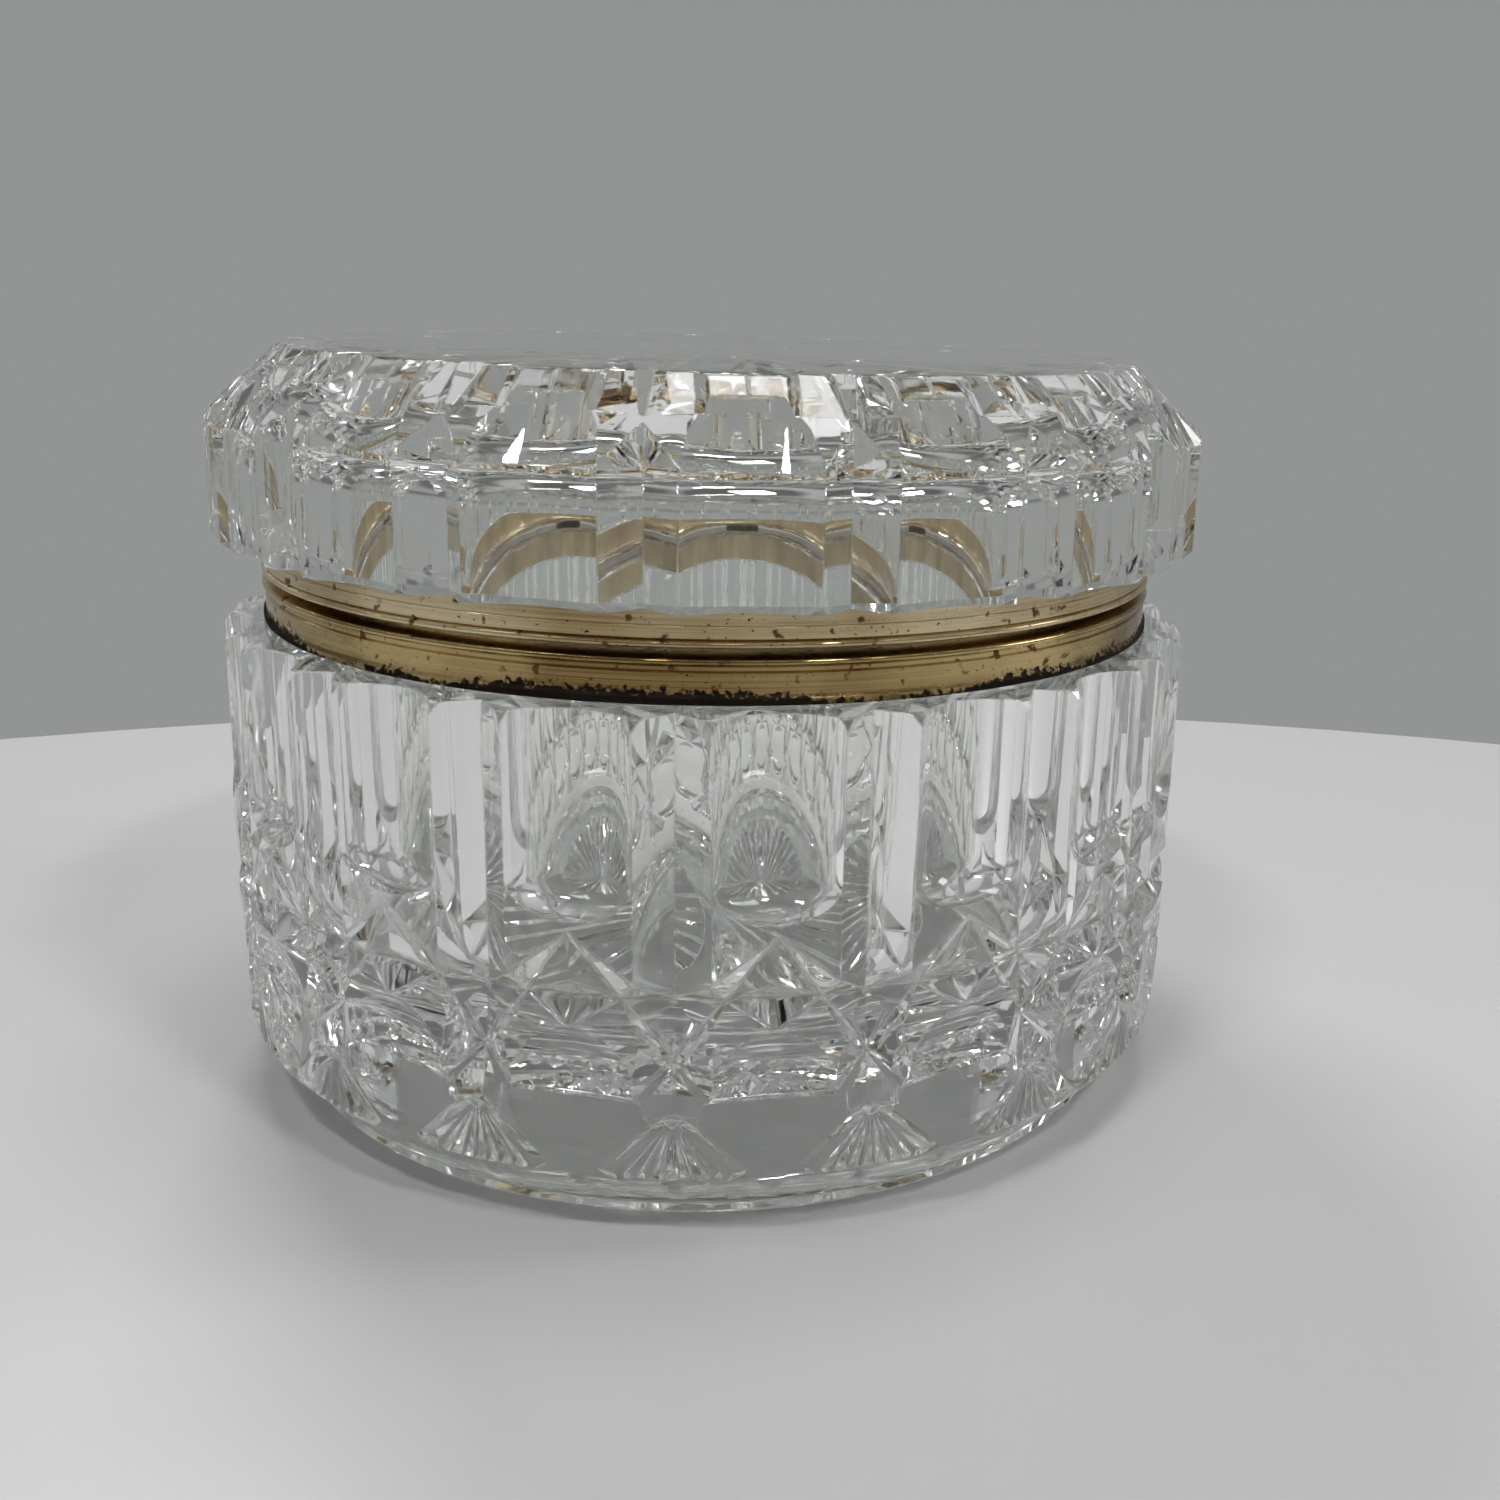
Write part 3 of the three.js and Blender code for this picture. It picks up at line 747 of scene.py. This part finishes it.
mount(make_bowl(), crystal_material("bowl_glass", 0.3), "base", "base_crystal")
mount(make_lid(), crystal_material("lid_glass", 1.1), "lid", "lid_crystal")
mount(make_collar("gilt_base_collar", base_collar_outline()),
      gilt_material("base_gilt", (0.65, 0.5, 0.25), (0.2, 0.12, 0.04), 59.2, 61.2, 0.14),
      "base", "base_collar")
mount(make_collar("gilt_lid_collar", lid_collar_outline()),
      gilt_material("lid_gilt", (0.78, 0.66, 0.44), (0.38, 0.26, 0.12), 64.3, 64.7, 0.24),
      "lid", "lid_collar")

leaf_brass = hinge_material("leaf_brass", (0.6, 0.45, 0.24), (0.42, 0.29, 0.14))
pin_brass = hinge_material("pin_wire_brass", (0.62, 0.49, 0.28), (0.36, 0.25, 0.13))
cement = cement_material()
for node_name, skin in (("hinge_base_leaf", leaf_brass), ("hinge_lid_leaf", leaf_brass),
                        ("hinge_pin", pin_brass), ("base_cement_ring", cement),
                        ("lid_cement_ring", cement)):
    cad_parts[node_name].data.materials[0] = skin

# ---------------------------------------------------------------- floor, light and camera

TABLE_R = 480
TABLE_THICK = 20
TABLE_TOP = -0.08         # a hair below the foot, so that the two faces never coincide
TABLE_CENTRE = (20, -312, 0)
TABLE_SEGMENTS = 128
TABLE_GREY = (0.56, 0.56, 0.56, 1)

ROOM_TINT = (0.97, 1, 0.98)
# (position from level to straight up, brightness) of the room's bands.
ROOM_LEVELS = [(0.0, 0.3), (0.22, 0.29), (0.36, 0.11), (0.55, 0.13), (0.66, 0.36), (0.78, 0.4), (0.88, 0.1)]

LIGHT_AIM = (0, 0, 0.05)          # metres, like the places and sizes of the lights
# Each light as name, place, width and height, and power in watts.
LIGHTS = [
    ("over_front_left", (-0.25, -0.45, 0.9), (0.16, 0.05), 2.2),
    ("over_front_right", (0.35, -0.5, 0.8), (0.12, 0.05), 2.0),
    ("over_back", (-0.2, 0.5, 0.8), (0.3, 0.08), 3),
    ("over_top", (0.1, 0.05, 1.0), (0.3, 0.3), 2.5),
    ("side", (0.8, 0.0, 0.5), (0.2, 0.2), 1.2),
]

CAMERA_PLACE = (0, -0.21755, 0.10088)     # metres
CAMERA_YAW = 0.101                # radians, towards the right of the box
CAMERA_PITCH = 0.2587             # radians, downwards
CAMERA_ROLL = 0.0333
CAMERA_LENS = 39.29
CAMERA_SENSOR = 36
CAMERA_SHIFT = (-0.0835, -0.0236)

LIGHT_BOUNCES = 24                # the glass is many surfaces deep
GLOSSY_BOUNCES = 12


def make_floor():
    """A plain pale round table top, with the box standing towards its back edge."""
    bottom = TABLE_TOP - TABLE_THICK
    outline = [(0, bottom), (TABLE_R, bottom), (TABLE_R, TABLE_TOP), (0, TABLE_TOP)]
    bm = bmesh.new()
    add_revolved(bm, outline, TABLE_SEGMENTS, place=Matrix.Translation(TABLE_CENTRE))
    floor = new_object("floor", bm)
    skin, _, _, shader = material("pale_floor")
    shader.inputs["Base Color"].default_value = TABLE_GREY
    shader.inputs["Roughness"].default_value = 0.35
    dress(floor, skin)


def area_light(name, place, size, power):
    light = bpy.data.lights.new(name, "AREA")
    light.shape = "RECTANGLE"
    light.size, light.size_y = size
    light.energy = power
    obj = bpy.data.objects.new(name, light)
    obj.location = place
    direction = Vector(LIGHT_AIM) - Vector(place)
    obj.rotation_euler = direction.to_track_quat("-Z", "Y").to_euler()
    bpy.context.scene.collection.objects.link(obj)


def make_world():
    """A plain grey room in level bands: walls, a dark band above them, a bright one, a dark ceiling."""
    world = bpy.data.worlds.new("room")
    bpy.context.scene.world = world
    world.use_nodes = True
    nodes, links = world.node_tree.nodes, world.node_tree.links
    coordinate = nodes.new("ShaderNodeTexCoord")
    split = nodes.new("ShaderNodeSeparateXYZ")
    links.new(coordinate.outputs["Generated"], split.inputs[0])
    ramp = nodes.new("ShaderNodeValToRGB")
    links.new(split.outputs["Z"], ramp.inputs["Fac"])
    elements = ramp.color_ramp.elements
    elements.remove(elements[1])
    for index, (position, level) in enumerate(ROOM_LEVELS):
        element = elements[0] if index == 0 else elements.new(position)
        element.position = position
        element.color = (*[level * part for part in ROOM_TINT], 1)
    links.new(ramp.outputs["Color"], nodes["Background"].inputs["Color"])


def camera_matrix():
    """The camera's place and turn. It looks along its own -Z, with its own +Y up."""
    forward = Vector((
        math.sin(CAMERA_YAW) * math.cos(CAMERA_PITCH),
        math.cos(CAMERA_YAW) * math.cos(CAMERA_PITCH),
        -math.sin(CAMERA_PITCH)))
    right = Vector((math.cos(CAMERA_YAW), -math.sin(CAMERA_YAW), 0))
    up = right.cross(forward)
    right_rolled = right * math.cos(CAMERA_ROLL) + up * math.sin(CAMERA_ROLL)
    up_rolled = up * math.cos(CAMERA_ROLL) - right * math.sin(CAMERA_ROLL)
    matrix = Matrix((right_rolled, up_rolled, -forward)).transposed().to_4x4()
    matrix.translation = Vector(CAMERA_PLACE)
    return matrix


def make_camera():
    camera = bpy.data.cameras.new("camera")
    camera.sensor_width = CAMERA_SENSOR
    camera.lens = CAMERA_LENS
    camera.shift_x, camera.shift_y = CAMERA_SHIFT
    obj = bpy.data.objects.new("camera", camera)
    obj.matrix_world = camera_matrix()
    bpy.context.scene.collection.objects.link(obj)
    bpy.context.scene.camera = obj


make_floor()
make_world()
for light_name, light_place, light_size, light_power in LIGHTS:
    area_light(light_name, light_place, light_size, light_power)
make_camera()
scene = bpy.context.scene
scene.cycles.max_bounces = LIGHT_BOUNCES
scene.cycles.transmission_bounces = LIGHT_BOUNCES
scene.cycles.glossy_bounces = GLOSSY_BOUNCES
scene.view_settings.view_transform = "Standard"
